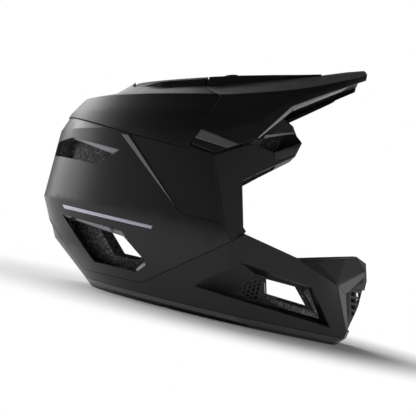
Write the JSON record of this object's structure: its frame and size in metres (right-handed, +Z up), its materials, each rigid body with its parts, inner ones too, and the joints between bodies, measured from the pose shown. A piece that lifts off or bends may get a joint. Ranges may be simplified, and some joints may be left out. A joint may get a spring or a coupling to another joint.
{
  "type": "downhill full face helmet",
  "caption": "Full face riding helmet with a tilting visor, chin guard, side and rear vents, foam liners, pads and a chin strap with buckle.",
  "frame": {"origin": "middle of the overall length and width, on the surface that the helmet stands on", "axes": "+X the way the wearer faces, +Y to the wearer's left, +Z up, standing level on its rim"},
  "size_m": [0.3524, 0.236, 0.2881],
  "materials": {
    "shell_satin": "satin, with a fine diagonal weave",
    "shell_black": "matte",
    "visor_black": "matte",
    "rim_plastic": "matte",
    "edging_rubber": "matte",
    "grille_plastic": "matte",
    "foam_grey": "moulded bead foam",
    "pad_fabric": "brushed knit",
    "snap_plastic": "matte",
    "strap_webbing": "woven",
    "anchor_steel": "brushed",
    "buckle_plastic": "matte",
    "slider_plastic": "matte",
    "stud_aluminium": "anodised",
    "screw_plastic": "matte",
    "nut_brass": "plain"
  },
  "bodies": {
    "helmet": {"upper_shell": "shell_satin", "crown_cover": "shell_black", "forehead_cover": "shell_black", "chin_guard": "shell_black", "rim_trim": "rim_plastic", "eyeport_trim": "edging_rubber", "mouth_grille": "grille_plastic", "window_grille_left": "grille_plastic", "window_grille_right": "grille_plastic", "crown_liner": "foam_grey", "base_liner": "foam_grey", "chin_liner": "foam_grey", "brow_pad": "pad_fabric", "cheek_pad_left": "pad_fabric", "cheek_pad_right": "pad_fabric", "crown_pads": "pad_fabric", "neck_roll": "pad_fabric", "pad_snaps": "snap_plastic", "strap_left": "strap_webbing", "strap_right": "strap_webbing", "strap_anchors": "anchor_steel", "buckle_body": "buckle_plastic", "buckle_tongue": "buckle_plastic", "visor_stud_left": "stud_aluminium", "visor_stud_right": "stud_aluminium", "visor_lock_nut": "nut_brass"},
    "visor_body": {"visor": "visor_black"},
    "visor_lock": {"visor_lock_screw": "screw_plastic"},
    "buckle_release": {"release_slider": "slider_plastic"}
  },
  "joints": [
    {"name": "visor_tilt", "type": "hinge", "parent": "helmet", "child": "visor_body", "pos_m": [-0.02, 0, 0.1685], "axis": [0, -1, 0], "range_deg": [-8, 0]},
    {"name": "visor_lock_turn", "type": "hinge", "parent": "helmet", "child": "visor_lock", "pos_m": [-0.014, 0, 0.2493], "axis": [-0.2837, 0, 0.9589], "continuous": true},
    {"name": "release_slide", "type": "slide", "parent": "helmet", "child": "buckle_release", "axis": [0, 1, 0], "range_m": [0, 0.003], "stiffness_N_per_m": 300}
  ]
}
